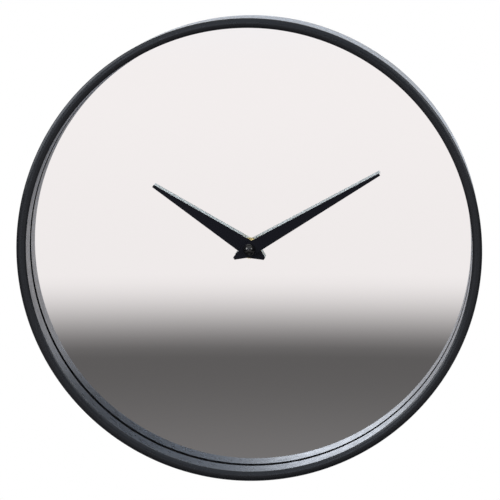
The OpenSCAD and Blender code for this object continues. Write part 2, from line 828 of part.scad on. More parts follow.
module motion_wheel() {
    color("#c9c4b4") stand() at(motion_at) union() {
        bar(arbor_r, arbor_w0, arbor_w1);
        pinion_disc(motion_pinion_n, hour_m, 0, hour_w0 - fuse, motion_w0);
        wheel_disc(motion_n, cannon_m, motion_phase, motion_w0, motion_w0 + wheel_t);
    }
}

module hour_wheel() {
    color("#d0cbbb") stand() difference() {
        union() {
            wheel_disc(hour_n, hour_m, hour_phase, hour_w0, hour_w0 + wheel_t);
            rod(hour_pipe_r, chamber_z - hour_w0 - wheel_t, hour_pipe_top_z);
        }
        rod(minute_r + turn_play, chamber_z - hour_w0 - wheel_t - cut, hour_pipe_top_z + cut);
    }
}

module setting_knob() {
    flutes = 16;
    flute_r = 0.6;
    flute_out = 0.2;
    leaf_w = motion_w0 + wheel_t + cannon_over;
    knob_w1 = chamber_d + cover_t - knob_sink;
    color("#2c2d31") stand() at(knob_at) union() {
        bar(arbor_r, arbor_w0, motion_w0);
        pinion_disc(knob_pinion_n, cannon_m, knob_phase, motion_w0 - fuse, leaf_w);
        bar(knob_shaft_r, leaf_w, knob_w0);
        difference() {
            bar(knob_d / 2, knob_w0, knob_w1);
            for (i = [0:flutes - 1]) rotate([0, 0, 360 * i / flutes])
                translate([knob_d / 2 + flute_out, 0, 0]) bar(flute_r, knob_w0 - cut, knob_w1 + cut);
        }
    }
}

module hour_collet() {
    rivet_h = 0.3;
    shoulder_w = 0.7;
    shoulder_t = 0.5;
    color("#c6a050") stand() difference() {
        union() {
            rod(collet_r, bushing_top_z + 2 * run_gap, hour_hand_z + hand_t + rivet_h);
            rod(collet_r + shoulder_w, hour_hand_z - shoulder_t, hour_hand_z);
        }
        rod(hour_pipe_r + push_play, bushing_top_z, hour_pipe_top_z + cut);
    }
}

// Outline of a hand that points to twelve
function hand_outline(len, wide) = [
    [hand_tip_w / 2, len], [wide / 2, -hand_wide_back], [hand_tip_w / 2, -hand_tail],
    [-hand_tip_w / 2, -hand_tail], [-wide / 2, -hand_wide_back], [-hand_tip_w / 2, len]
];

module hour_hand() {
    color("#1a1a1c") stand() rotate([0, 0, -hour_angle]) translate([0, 0, hour_hand_z])
        linear_extrude(hand_t) difference() {
            polygon(hand_outline(hour_len, hour_w));
            circle(r = collet_r + push_play);
        }
}

module minute_hand() {
    color("#19191b") stand() rotate([0, 0, -minute_angle]) translate([0, 0, minute_hand_z])
        linear_extrude(hand_t) difference() {
            polygon(hand_outline(minute_len, minute_w));
            intersection() {
                circle(r = minute_r + push_play);
                square([minute_flats + 2 * push_play, minute_arbor_d + cut], center = true);
            }
        }
}

module cap_nut() {
    cap_r = cap_d / 2;
    skirt_h = 1.2;
    dome_h = cap_h - skirt_h;
    dome_r = (cap_r * cap_r + dome_h * dome_h) / (2 * dome_h);
    color("#151517") stand() difference() {
        union() {
            rod(cap_r, cap_z, cap_z + skirt_h);
            intersection() {
                translate([0, 0, cap_z + cap_h - dome_r]) sphere(r = dome_r);
                rod(cap_r, cap_z + skirt_h - fuse, cap_z + cap_h + cut);
            }
        }
        rod(minute_r + push_play, cap_z - cut, minute_top_z + run_gap);
    }
}

module battery_cell() {
    body_l = cell_l - nub_l;
    crimp = 0.5;
    r = cell_d / 2;
    profile = [
        [0, 0], [r - crimp, 0], [r, crimp], [r, body_l - crimp], [r - crimp, body_l],
        [nub_d / 2, body_l], [nub_d / 2, cell_l], [0, cell_l]
    ];
    color("#7f8c93") stand() translate([bay_x - contact_t - seat_gap - cell_l, cell_y, cell_z])
        rotate([0, 90, 0]) rotate_extrude() polygon(profile);
}

frame_ring();
mirror_seal();
mirror_glass();
backing_board();
spring_clips();
rubber_washer();
hanger_bracket();
threaded_bushing();
brass_washer();
hex_nut();
movement_case();
movement_cover();
contact_positive();
contact_negative();
circuit_board();
control_chip();
quartz_crystal();
coil_bobbin();
coil_winding();
coil_core();
stator();
rotor_magnet();
rotor_pinion();
step_wheel();
seconds_wheel();
third_wheel();
centre_wheel();
clutch_spring();
minute_arbor();
motion_wheel();
hour_wheel();
setting_knob();
hour_collet();
hour_hand();
minute_hand();
cap_nut();
battery_cell();
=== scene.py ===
import math

import bpy
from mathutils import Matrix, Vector


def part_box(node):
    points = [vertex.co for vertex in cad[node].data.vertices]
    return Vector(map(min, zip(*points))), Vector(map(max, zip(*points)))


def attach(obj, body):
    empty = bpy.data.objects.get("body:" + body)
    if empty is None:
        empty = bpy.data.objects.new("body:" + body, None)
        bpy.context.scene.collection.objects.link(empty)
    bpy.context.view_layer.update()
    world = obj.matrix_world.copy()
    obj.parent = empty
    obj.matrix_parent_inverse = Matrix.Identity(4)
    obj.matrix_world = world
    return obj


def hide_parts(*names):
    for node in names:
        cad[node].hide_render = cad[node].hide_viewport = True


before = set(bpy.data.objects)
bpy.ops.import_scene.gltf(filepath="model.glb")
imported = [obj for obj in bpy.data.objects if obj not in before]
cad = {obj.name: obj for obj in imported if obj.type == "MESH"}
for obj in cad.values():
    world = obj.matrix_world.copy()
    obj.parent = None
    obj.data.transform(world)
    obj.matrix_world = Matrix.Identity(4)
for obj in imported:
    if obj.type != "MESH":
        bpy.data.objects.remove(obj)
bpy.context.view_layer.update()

# Sizes of the ring in metres, as in the solid model: the dial faces -Y and the wall is at +Y
RING_R = 0.1525
LIP_R = 0.1461
INNER_WALL_R = 0.1481
REBATE_R = 0.1503
FLANGE_R = 0.1488
FRONT_Y = -0.0225
WALL_Y = 0.0225
SEAT_Y = -0.0032
WEB_Y = -0.0195
CLIP_Y = 0.00775
FLANGE_Y = 0.00915
CROWN = 0.001
EDGE = 0.0008
BREAK = 0.0002


# Small helpers for modelling

# Turn that lays a flat primitive across the Y axis
ACROSS_Y = (math.pi / 2, 0, 0)
# Points closer than this are one point
MERGE = 1e-6


def start_fresh():
    """Leaves edit mode and selects nothing."""
    if bpy.context.mode != "OBJECT":
        bpy.ops.object.mode_set(mode="OBJECT")
    bpy.ops.object.select_all(action="DESELECT")


def take(piece):
    """Selects one piece alone."""
    start_fresh()
    piece.select_set(True)
    bpy.context.view_layer.objects.active = piece


def end_edit():
    """Goes back to object mode."""
    bpy.ops.object.mode_set(mode="OBJECT")


def edit_all(piece):
    """Goes to edit mode with the whole piece selected."""
    take(piece)
    bpy.ops.object.mode_set(mode="EDIT")
    bpy.ops.mesh.select_all(action="SELECT")


def edit_where(piece, test):
    """Goes to edit mode with the points selected that pass a test."""
    take(piece)
    bpy.ops.object.mode_set(mode="EDIT")
    bpy.ops.mesh.select_mode(type="VERT")
    bpy.ops.mesh.select_all(action="DESELECT")
    end_edit()
    for point in piece.data.vertices:
        point.select = test(point.co)
    bpy.ops.object.mode_set(mode="EDIT")
    bpy.ops.mesh.select_mode(type="VERT")


def named(name):
    """Names the piece that was just added, with its mesh."""
    piece = bpy.context.object
    piece.name = name
    piece.data.name = name
    return piece


def settle(piece):
    """Puts a piece's place, turn and size into its mesh."""
    take(piece)
    bpy.ops.object.transform_apply(location=True, rotation=True, scale=True)


def clean(piece, sharp):
    """Merges doubles, turns the faces outwards and smooths all edges up to a sharp angle, in degrees."""
    edit_all(piece)
    bpy.ops.mesh.remove_doubles(threshold=MERGE)
    bpy.ops.mesh.normals_make_consistent(inside=False)
    end_edit()
    bpy.ops.object.shade_smooth_by_angle(angle=math.radians(sharp))


def finish_piece(piece, body, slot, *materials):
    """Gives a piece its finish and the body that it rides on."""
    piece.data.materials.clear()
    for material in materials:
        piece.data.materials.append(material)
    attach(piece, body)


def arc(radius, depth, r, start, end, steps):
    """Points on an arc of a turned section, as radius and depth pairs, with 90 degrees towards the front."""
    points = []
    for i in range(steps + 1):
        a = start + (end - start) * i / steps
        points.append((radius + r * math.cos(a), depth - r * math.sin(a)))
    return points


def draw_out(move, grow, centre=(0, 0, 0)):
    """Draws the selected edges out by a move and resizes the new ones about a centre."""
    bpy.ops.mesh.extrude_edges_move(TRANSFORM_OT_translate={"value": move})
    bpy.ops.transform.resize(value=grow, center_override=centre)


def turned(name, section, steps):
    """A piece turned about the Y axis: a circle, drawn out and resized from point to point of its section."""
    start_fresh()
    r, y = section[0]
    bpy.ops.mesh.primitive_circle_add(vertices=steps, radius=r, location=(0, y, 0), rotation=ACROSS_Y)
    piece = named(name)
    settle(piece)
    edit_all(piece)
    for next_r, next_y in section[1:]:
        grow = next_r / r
        draw_out((0, next_y - y, 0), (grow, 1, grow))
        r, y = next_r, next_y
    end_edit()
    return piece


# Small helpers for materials

def give(tree, socket, value):
    """Links a socket to another one, or sets its value."""
    if isinstance(value, bpy.types.NodeSocket):
        tree.links.new(value, socket)
    else:
        socket.default_value = value


def put(tree, kind, **inputs):
    """Adds a node and links or sets its inputs by name, with _ for a space."""
    made = tree.nodes.new(kind)
    for name, value in inputs.items():
        give(tree, made.inputs[name.replace("_", " ")], value)
    return made


def put_math(tree, kind, operation, *values):
    """Adds a math node and links or sets its inputs in order."""
    made = tree.nodes.new(kind)
    made.operation = operation
    for socket, value in zip(made.inputs, values):
        give(tree, socket, value)
    return made


def number(tree, operation, *values):
    """Result of a math node on numbers."""
    return put_math(tree, "ShaderNodeMath", operation, *values).outputs["Value"]


def vector(tree, operation, *values):
    """Result of a math node on vectors."""
    return put_math(tree, "ShaderNodeVectorMath", operation, *values).outputs["Vector"]


def length(tree, value):
    """Length of a vector."""
    return put_math(tree, "ShaderNodeVectorMath", "LENGTH", value).outputs["Value"]


def put_range(tree, value, start, end, low=0.0, high=1.0, ease="LINEAR"):
    """Takes a value from the range between start and end to the one between low and high."""
    made = put(tree, "ShaderNodeMapRange", Value=value, From_Min=start, From_Max=end, To_Min=low, To_Max=high)
    made.interpolation_type = ease
    return made.outputs["Result"]


def put_ramp(tree, value, stops, ease="LINEAR"):
    """Colour by a value, through colour stops."""
    made = put(tree, "ShaderNodeValToRGB", Fac=value)
    ramp = made.color_ramp
    ramp.interpolation = ease
    while len(ramp.elements) < len(stops):
        ramp.elements.new(0.5)
    for element, (at, color) in zip(ramp.elements, stops):
        element.position = at
        element.color = (*color, 1.0)
    return made.outputs["Color"]


def new_group(name, inputs, outputs):
    """An empty shader node group: vector sockets for Vector and Normal, and number sockets for the rest."""
    tree = bpy.data.node_groups.new(name, "ShaderNodeTree")
    for sockets, way in ((inputs, "INPUT"), (outputs, "OUTPUT")):
        for socket in sockets:
            kind = "NodeSocketVector" if socket in ("Vector", "Normal") else "NodeSocketFloat"
            tree.interface.new_socket(name=socket, in_out=way, socket_type=kind)
    return tree, tree.nodes.new("NodeGroupInput").outputs, tree.nodes.new("NodeGroupOutput").inputs


def new_pattern(name):
    """An empty group for a pattern, which puts out a height, and a value between two limits."""
    return new_group(name, ["Vector", "Scale", "Low", "High"], ["Height", "Value"])


def end_pattern(tree, given, result, height, value, start, end):
    """Puts out a pattern's height, and its value spread from a start and an end to the two limits."""
    give(tree, result["Height"], height)
    give(tree, result["Value"], put_range(tree, value, start, end, given["Low"], given["High"]))
    return tree


# Node groups that the finishes share

def make_grain_group():
    """Fine grain of a sprayed or moulded skin, with a value that wanders more slowly."""
    coarse_share = 0.07
    tree, given, result = new_pattern("fine grain")
    place, scale = given["Vector"], given["Scale"]
    fine = put(tree, "ShaderNodeTexNoise", Vector=place, Scale=scale, Detail=3.0, Roughness=0.6)
    slow = number(tree, "MULTIPLY", scale, coarse_share)
    coarse = put(tree, "ShaderNodeTexNoise", Vector=place, Scale=slow, Detail=4.0, Roughness=0.55)
    return end_pattern(tree, given, result, fine.outputs["Fac"], coarse.outputs["Fac"], start=0.3, end=0.7)


def make_drawn_group():
    """Lines of drawn or brushed metal along X."""
    stretch = (0.03, 1.0, 1.0)
    tree, given, result = new_pattern("drawn lines")
    along = put(tree, "ShaderNodeMapping", Vector=given["Vector"], Scale=stretch).outputs["Vector"]
    lines = put(tree, "ShaderNodeTexNoise", Vector=along, Scale=given["Scale"], Detail=4.0, Roughness=0.65)
    return end_pattern(tree, given, result, lines.outputs["Fac"], lines.outputs["Fac"], start=0.25, end=0.75)


def make_lathe_group():
    """Fine rings that a lathe leaves about the Y axis."""
    tree, given, result = new_pattern("lathe rings")
    radius = length(tree, vector(tree, "MULTIPLY", given["Vector"], (1, 0, 1)))
    along = put(tree, "ShaderNodeCombineXYZ", X=radius).outputs["Vector"]
    rings = put(tree, "ShaderNodeTexNoise", Vector=along, Scale=given["Scale"], Detail=3.0)
    return end_pattern(tree, given, result, rings.outputs["Fac"], rings.outputs["Fac"], start=0.25, end=0.75)


def make_fibre_group():
    """Short wavy fibres along X, as a height."""
    wave_scale = 160.0
    sway = (0.006, 0.006, 0.006)
    stretch = (0.1, 1.0, 1.0)
    tree, given, result = new_group("short fibres", ["Vector", "Scale"], ["Height"])
    wave = put(tree, "ShaderNodeTexNoise", Vector=given["Vector"], Scale=wave_scale, Detail=1.0)
    bent = vector(tree, "MULTIPLY_ADD", wave.outputs["Color"], sway, given["Vector"])
    along = put(tree, "ShaderNodeMapping", Vector=bent, Scale=stretch).outputs["Vector"]
    lines = put(tree, "ShaderNodeTexNoise", Vector=along, Scale=given["Scale"], Detail=2.0, Roughness=0.5)
    give(tree, result["Height"], lines.outputs["Fac"])
    return tree


def make_wallward_group():
    """A mask that is 1 where the surface faces along Y, away from the dial, and 0 elsewhere."""
    least_y = 0.5
    tree, given, result = new_group("faces the wall", ["Normal"], ["Mask"])
    parts = put(tree, "ShaderNodeSeparateXYZ", Vector=given["Normal"]).outputs
    give(tree, result["Mask"], number(tree, "GREATER_THAN", parts["Y"], least_y))
    return tree


GRAIN = make_grain_group()
DRAWN = make_drawn_group()
LATHE = make_lathe_group()
FIBRE = make_fibre_group()
WALLWARD = make_wallward_group()


class Finish:
    """A material with its Principled shader and the texture coordinates at hand."""

    def __init__(self, name, **sockets):
        self.material = bpy.data.materials.new(name)
        self.material.use_nodes = True
        self.tree = self.material.node_tree
        self.shader = self.tree.nodes["Principled BSDF"]
        self.place = self.tree.nodes.new("ShaderNodeTexCoord").outputs
        for socket, value in sockets.items():
            self.feed(socket, value)

    def feed(self, socket, value):
        """Links or sets one of the shader's sockets, with _ for a space in its name."""
        give(self.tree, self.shader.inputs[socket.replace("_", " ")], value)

    def turn(self, degrees):
        """Object coordinates turned about the three axes."""
        angles = tuple(math.radians(d) for d in degrees)
        mapped = put(self.tree, "ShaderNodeMapping", Vector=self.place["Object"], Rotation=angles)
        return mapped.outputs["Vector"]

    def group(self, tree, **inputs):
        """Places a node group with its own inputs."""
        made = self.tree.nodes.new("ShaderNodeGroup")
        made.node_tree = tree
        for name, value in inputs.items():
            give(self.tree, made.inputs[name], value)
        return made.outputs

    def grain(self, scale, low, high):
        """The fine grain on Object coordinates, with the limits of its value."""
        return self.group(GRAIN, Vector=self.place["Object"], Scale=scale, Low=low, High=high)

    def wallward(self):
        """Mask of the faces that look to the wall."""
        return self.group(WALLWARD, Normal=self.place["Normal"])["Mask"]

    def tones(self, value, stops):
        """Colours the surface by a value, through colour stops."""
        self.feed("Base_Color", put_ramp(self.tree, value, stops))

    def bump(self, height, strength, distance):
        """Lifts the surface by a height, in metres at full strength."""
        lift = put(self.tree, "ShaderNodeBump", Strength=strength, Distance=distance, Height=height)
        self.feed("Normal", lift.outputs["Normal"])


# Finishes with one pattern, which gives their two tones, their roughness and their bump

DARK_AT, PALE_AT = 0.3, 0.7


def patterned(name, dark, pale, rough, scale, bump=None, pattern=GRAIN, turn=None, **sockets):
    """A finish by its tones, the limits of its roughness, and its bump's strength and distance."""
    f = Finish(name, **sockets)
    place = f.turn(turn) if turn else f.place["Object"]
    skin = f.group(pattern, Vector=place, Scale=scale, Low=rough[0], High=rough[1])
    f.tones(skin["Height"], [(DARK_AT, dark), (PALE_AT, pale)])
    f.feed("Roughness", skin["Value"])
    if bump:
        f.bump(skin["Height"], *bump)
    return f.material


# Powder coat of the ring, near black with a cool cast
COAT = patterned(
    "satin black coat", dark=(0.004, 0.0043, 0.0055), pale=(0.009, 0.0095, 0.0115),
    rough=(0.24, 0.33), scale=2100.0, bump=(0.35, 0.00006),
    Specular_IOR_Level=0.36, Specular_Tint=(0.86, 0.92, 1.0, 1.0),
    Sheen_Weight=0.3, Sheen_Roughness=0.3, Sheen_Tint=(0.6, 0.75, 1.0, 1.0))
# Closed-cell foam ring
FOAM = patterned(
    "black foam", dark=(0.004, 0.004, 0.004), pale=(0.012, 0.012, 0.012),
    rough=(0.8, 0.95), scale=2600.0, bump=(0.6, 0.0002), Specular_IOR_Level=0.03)
# Blue-grey rolled strip
SPRING = patterned(
    "spring steel", dark=(0.26, 0.275, 0.3), pale=(0.42, 0.43, 0.45),
    rough=(0.24, 0.42), scale=1500.0, bump=(0.15, 0.00005), pattern=DRAWN, Metallic=1.0)
# Soft washer
RUBBER = patterned(
    "black rubber", dark=(0.01, 0.01, 0.01), pale=(0.022, 0.022, 0.021),
    rough=(0.7, 0.88), scale=1800.0, bump=(0.3, 0.0001), Specular_IOR_Level=0.3)
# Brass as it comes from the lathe
BRASS = patterned(
    "turned brass", dark=(0.76, 0.63, 0.32), pale=(0.9, 0.78, 0.46),
    rough=(0.2, 0.34), scale=6250.0, bump=(0.2, 0.00003), pattern=LATHE, Metallic=1.0)
# Black moulded plastic with a spark-eroded skin
MOULDED = patterned(
    "moulded black", dark=(0.012, 0.0125, 0.0135), pale=(0.024, 0.025, 0.027),
    rough=(0.48, 0.62), scale=3000.0, bump=(0.4, 0.00008), Specular_IOR_Level=0.4)
# The same plastic where the mould is polished, on the raised signs
POLISHED = patterned(
    "polished black", dark=(0.03, 0.031, 0.033), pale=(0.044, 0.045, 0.048),
    rough=(0.16, 0.26), scale=900.0)
# Solder lacquer on the circuit board
LACQUER = patterned(
    "green lacquer", dark=(0.02, 0.11, 0.035), pale=(0.035, 0.17, 0.06),
    rough=(0.25, 0.4), scale=900.0, Coat_Weight=0.3)
# Black potting over the chip
RESIN = patterned(
    "chip resin", dark=(0.006, 0.006, 0.006), pale=(0.014, 0.014, 0.014),
    rough=(0.45, 0.65), scale=1500.0, bump=(0.2, 0.0001), Specular_IOR_Level=0.4)
# Bright can of the crystal, and the cell's ends
CAN = patterned(
    "tinned can", dark=(0.6, 0.6, 0.61), pale=(0.72, 0.72, 0.73),
    rough=(0.14, 0.26), scale=1800.0, pattern=DRAWN, Metallic=1.0)
# Pale plastic of the wheels and the bobbin
CREAM = patterned(
    "cream plastic", dark=(0.6, 0.55, 0.43), pale=(0.69, 0.65, 0.54),
    rough=(0.34, 0.48), scale=1100.0, Specular_IOR_Level=0.45)
# Copper wire, layer on layer
COPPER = patterned(
    "lacquered copper", dark=(0.42, 0.14, 0.05), pale=(0.62, 0.26, 0.1),
    rough=(0.22, 0.4), scale=5000.0, bump=(0.5, 0.0001), pattern=DRAWN, turn=(0, 0, 90),
    Metallic=1.0, Coat_Weight=0.4)
# Annealed sheet of the motor
IRON = patterned(
    "soft iron", dark=(0.24, 0.25, 0.27), pale=(0.36, 0.37, 0.39),
    rough=(0.38, 0.55), scale=700.0, Metallic=1.0)
# Grey magnet, pressed from powder
MAGNET = patterned(
    "sintered magnet", dark=(0.05, 0.05, 0.055), pale=(0.1, 0.1, 0.11),
    rough=(0.5, 0.7), scale=2600.0, Metallic=0.6)
# Black lacquer of the cap
GLOSS = patterned(
    "gloss black", dark=(0.004, 0.004, 0.0045), pale=(0.007, 0.007, 0.008),
    rough=(0.05, 0.09), scale=500.0)


# Finishes with more than one pattern

def silvered_glass():
    """Mirror: silver seen through the front, grey lacquer on the back."""
    f = Finish("silvered glass")
    back = f.wallward()
    f.tones(back, [(0.0, (0.93, 0.935, 0.935)), (1.0, (0.2, 0.21, 0.2))])
    f.feed("Metallic", put_range(f.tree, back, 0.0, 1.0, low=1.0, high=0.0))
    f.feed("Roughness", f.grain(60.0, low=0.012, high=0.02)["Value"])
    return f.material


def hardboard():
    """Pressed fibre board: brown felt of short fibres that lie every way, with darker specks."""
    fibre_scale = 1100.0
    fibre_angles = (12, 57, 103, 151)
    f = Finish("hardboard", Specular_IOR_Level=0.25)
    felt = None
    for angle in fibre_angles:
        fibres = f.group(FIBRE, Vector=f.turn((0, angle, 0)), Scale=fibre_scale + angle)["Height"]
        felt = number(f.tree, "MAXIMUM", felt, fibres) if felt else fibres
    cloud = f.grain(420.0, low=0.6, high=0.82)["Value"]
    f.tones(number(f.tree, "MULTIPLY", felt, cloud), [
        (0.25, (0.075, 0.042, 0.022)), (0.42, (0.13, 0.076, 0.041)), (0.62, (0.2, 0.125, 0.07))])
    f.feed("Roughness", cloud)
    f.bump(felt, strength=0.35, distance=0.0002)
    return f.material


def zinc_steel():
    """Zinc plate on pressed sheet, faintly clouded over its rolling lines."""
    f = Finish("zinc steel", Metallic=1.0)
    cloud = f.grain(420.0, low=0.26, high=0.42)
    lines = f.group(DRAWN, Vector=f.turn((0, 90, 0)), Scale=2200.0)
    f.tones(cloud["Height"], [(DARK_AT, (0.5, 0.52, 0.55)), (PALE_AT, (0.66, 0.67, 0.68))])
    f.feed("Roughness", cloud["Value"])
    f.bump(lines["Height"], strength=0.12, distance=0.00004)
    return f.material


def hand_paint():
    """Black paint on the front and edges of a hand, pale primer on its back."""
    f = Finish("hand paint", Specular_IOR_Level=0.1)
    grain = f.grain(2400.0, low=0.42, high=0.54)
    f.tones(f.wallward(), [(0.0, (0.0044, 0.0047, 0.0084)), (1.0, (0.82, 0.89, 0.91))])
    f.feed("Roughness", grain["Value"])
    f.bump(grain["Height"], strength=0.15, distance=0.00004)
    return f.material


def cell_wrap():
    """Shrunk film round the cell, a darker band at its plus end."""
    minus_x, plus_x = -0.025, 0.026
    f = Finish("cell wrap")
    grain = f.grain(260.0, low=0.2, high=0.32)
    parts = put(f.tree, "ShaderNodeSeparateXYZ", Vector=f.place["Object"]).outputs
    f.tones(put_range(f.tree, parts["X"], minus_x, plus_x), [
        (0.0, (0.27, 0.29, 0.31)), (0.74, (0.33, 0.35, 0.37)), (0.755, (0.035, 0.04, 0.05))])
    f.feed("Roughness", grain["Value"])
    f.bump(grain["Height"], strength=0.1, distance=0.0001)
    return f.material


MIRROR = silvered_glass()
BOARD = hardboard()
ZINC = zinc_steel()
HAND = hand_paint()
WRAP = cell_wrap()

# Finishes of the solid model's own pieces
NODES_BY_FINISH = [
    (COAT, ["frame_ring"]),
    (FOAM, ["mirror_seal"]),
    (MIRROR, ["mirror_glass"]),
    (BOARD, ["backing_board"]),
    (SPRING, ["spring_clips", "clutch_spring"]),
    (RUBBER, ["rubber_washer"]),
    (ZINC, ["hanger_bracket", "contact_positive", "contact_negative"]),
    (BRASS, ["threaded_bushing", "brass_washer", "hex_nut", "hour_collet"]),
    (MOULDED, ["movement_case", "movement_cover", "setting_knob"]),
    (LACQUER, ["circuit_board"]),
    (RESIN, ["control_chip"]),
    (CAN, ["quartz_crystal"]),
    (COPPER, ["coil_winding"]),
    (IRON, ["coil_core", "stator"]),
    (MAGNET, ["rotor_magnet"]),
    (CREAM, ["coil_bobbin", "rotor_pinion", "step_wheel", "seconds_wheel", "third_wheel", "centre_wheel"]),
    (CREAM, ["minute_arbor", "motion_wheel", "hour_wheel"]),
    (HAND, ["hour_hand", "minute_hand"]),
    (GLOSS, ["cap_nut"]),
    (WRAP, ["battery_cell"]),
]
for finish, node_names in NODES_BY_FINISH:
    for node_name in node_names:
        mesh = cad[node_name].data
        mesh.materials.clear()
        mesh.materials.append(finish)


# Camera at the photograph's viewing angle

FRAME_PX = 500
# Pixels to a metre at the ring's front
SCALE_PX = 1532.0
VIEW_AZIMUTH = math.radians(3.5)
VIEW_ELEVATION = math.radians(7.5)
VIEW_DISTANCE = 1.75
AIM_RIGHT = 0.00137
AIM_UP = 0.00157
SENSOR_MM = 36
CLIP_NEAR, CLIP_FAR = 0.05, 100


def add_camera():
    """Aims the camera at the middle of the ring's front, a little to the right and up."""
    back = Vector((
        math.sin(VIEW_AZIMUTH) * math.cos(VIEW_ELEVATION),
        -math.cos(VIEW_AZIMUTH) * math.cos(VIEW_ELEVATION),
        math.sin(VIEW_ELEVATION),
    ))
    turn = (-back).to_track_quat("-Z", "Y")
    front = Vector((0, FRONT_Y, 0))
    aim = front + turn @ Vector((AIM_RIGHT, AIM_UP, 0))
    lens = bpy.data.cameras.new("camera")
    lens.sensor_width = SENSOR_MM
    lens.lens = SCALE_PX * VIEW_DISTANCE * SENSOR_MM / FRAME_PX
    lens.clip_start = CLIP_NEAR
    lens.clip_end = CLIP_FAR
    camera = bpy.data.objects.new("camera", lens)
    camera.location = aim + back * VIEW_DISTANCE
    camera.rotation_mode = "QUATERNION"
    camera.rotation_quaternion = turn
    bpy.context.scene.collection.objects.link(camera)
    bpy.context.scene.camera = camera


add_camera()


# Ring

RING_STEPS = 288
EDGE_STEPS = 10
CROWN_STEPS = 22
TURNED_SHARP = 40


def ring_section():
    """Section of the ring: crowned front, rounded edges, a wall on each side and the rear flange."""
    width = RING_R - LIP_R
    crown_r = (width * width / 4 + CROWN * CROWN) / (2 * CROWN)
    crown_y = FRONT_Y + crown_r
    middle_r = (RING_R + LIP_R) / 2
    rise = math.sqrt((crown_r - EDGE) ** 2 - (width / 2 - EDGE) ** 2)
    edge_y = crown_y - rise
    turn = math.atan2(rise, width / 2 - EDGE)
    return (
        [(RING_R - 2 * BREAK, WALL_Y), (RING_R - BREAK / 2, WALL_Y - BREAK / 2), (RING_R, WALL_Y - 2 * BREAK)]
        + arc(RING_R - EDGE, edge_y, EDGE, 0, turn, EDGE_STEPS)
        + arc(middle_r, crown_y, crown_r, turn, math.pi - turn, CROWN_STEPS)[1:]
        + arc(LIP_R + EDGE, edge_y, EDGE, math.pi - turn, math.pi, EDGE_STEPS)[1:]
        + [(LIP_R, SEAT_Y - BREAK), (LIP_R + BREAK, SEAT_Y), (INNER_WALL_R, SEAT_Y), (INNER_WALL_R, WEB_Y)]
        + [(REBATE_R, WEB_Y), (REBATE_R, CLIP_Y), (FLANGE_R, CLIP_Y), (FLANGE_R, FLANGE_Y)]
        + [(REBATE_R, FLANGE_Y), (REBATE_R, WALL_Y - BREAK), (REBATE_R + BREAK, WALL_Y)]
        + [(RING_R - 2 * BREAK, WALL_Y)]
    )


def make_ring():
    """The ring, in place of the solid one."""
    ring = turned("ring", ring_section(), RING_STEPS)
    clean(ring, TURNED_SHARP)
    finish_piece(ring, "case", "black_coat", COAT)
    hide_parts("frame_ring")


make_ring()


# Battery cell

CELL_STEPS = 72
# Rolled film edges at the two ends: how far in from the cell's radius, and how far from the end
MINUS_END = [
    (0.0017, 0.00025), (0.0014, 0.00005), (0.0010, 0.0), (0.0005, 0.0), (0.00015, 0.00012), (0.0, 0.0005),
]
PLUS_END = [(0.0, 0.0019), (0.00012, 0.0015), (0.0005, 0.0012), (0.0011, 0.0012), (0.0013, 0.0014)]
# Nub at the plus end: its radius, and how far from the end
NUB = [(0.0031, 0.0014), (0.00275, 0.0011), (0.00275, 0.0002), (0.0025, 0.0)]
# Faces further in from the cell's radius than this are the steel ends
STEEL_INSET = 0.0012


def make_cell():
    """Cell with rolled film edges, steel ends and a nub, turned about Y and then laid along X."""
    low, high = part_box("battery_cell")
    end_x = high.x - low.x
    axis_y, axis_z = (low.y + high.y) / 2, (low.z + high.z) / 2
    r = (high.z - low.z) / 2
    section = [(r - inset, along) for inset, along in MINUS_END]
    section += [(r - inset, end_x - along) for inset, along in PLUS_END]
    section += [(nub_r, end_x - along) for nub_r, along in NUB]
    cell = turned("cell", section, CELL_STEPS)
    edit_all(cell)
    bpy.ops.mesh.fill_holes(sides=0)
    end_edit()
    cell.rotation_euler = (0, 0, -math.pi / 2)
    cell.location = (low.x, axis_y, axis_z)
    settle(cell)
    clean(cell, TURNED_SHARP)
    finish_piece(cell, "battery", "cell_wrap", WRAP, CAN)
    for face in cell.data.polygons:
        from_axis = math.hypot(face.center.y - axis_y, face.center.z - axis_z)
        face.material_index = int(from_axis < r - STEEL_INSET)
    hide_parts("battery_cell")


make_cell()


# Raised signs on the movement's cover

SIGN_H = 0.00018
SIGN_SIZE = 0.0033
# Strokes that make up a sign's width
SIGN_CELLS = 3
SIGN_STROKE = SIGN_SIZE / SIGN_CELLS
SIGN_ROW_Z = -0.0064
SIGN_X = 0.0215
SIGN_SHARP = 20
KNOB_X, KNOB_Z = 0.018847, 0.00505
# The arrow's band: its radii, its end angles and how near to them a point still belongs to it
ARROW_OUTER, ARROW_INNER = 0.0075, 0.0069
ARROW_FIRST, ARROW_LAST = 45, 135
ARROW_SLACK = 1
ARROW_STEPS = 72
# The arrow's heads: width against the band, length, and tip against the width
HEAD_WIDE, HEAD_LONG, HEAD_TIP = 3.2, 0.0017, 0.05
# Reach from the middle of the band that takes in its end, as a share of its width
HEAD_REACH = 0.6


def add_grid(name, rows, centre):
    """A flat square of three columns, which a sign starts from."""
    start_fresh()
    bpy.ops.mesh.primitive_grid_add(
        x_subdivisions=SIGN_CELLS, y_subdivisions=rows, size=SIGN_SIZE, location=centre, rotation=ACROSS_Y)
    sign = named(name)
    settle(sign)
    return sign


def make_plus(face_y):
    """A plus sign: a grid of three by three without its corners."""
    plus = add_grid("plus_sign", SIGN_CELLS, (SIGN_X, face_y, SIGN_ROW_Z))
    edit_where(plus, lambda point: min(abs(point.x - SIGN_X), abs(point.z - SIGN_ROW_Z)) > SIGN_STROKE)
    bpy.ops.mesh.delete(type="VERT")
    end_edit()
    return plus


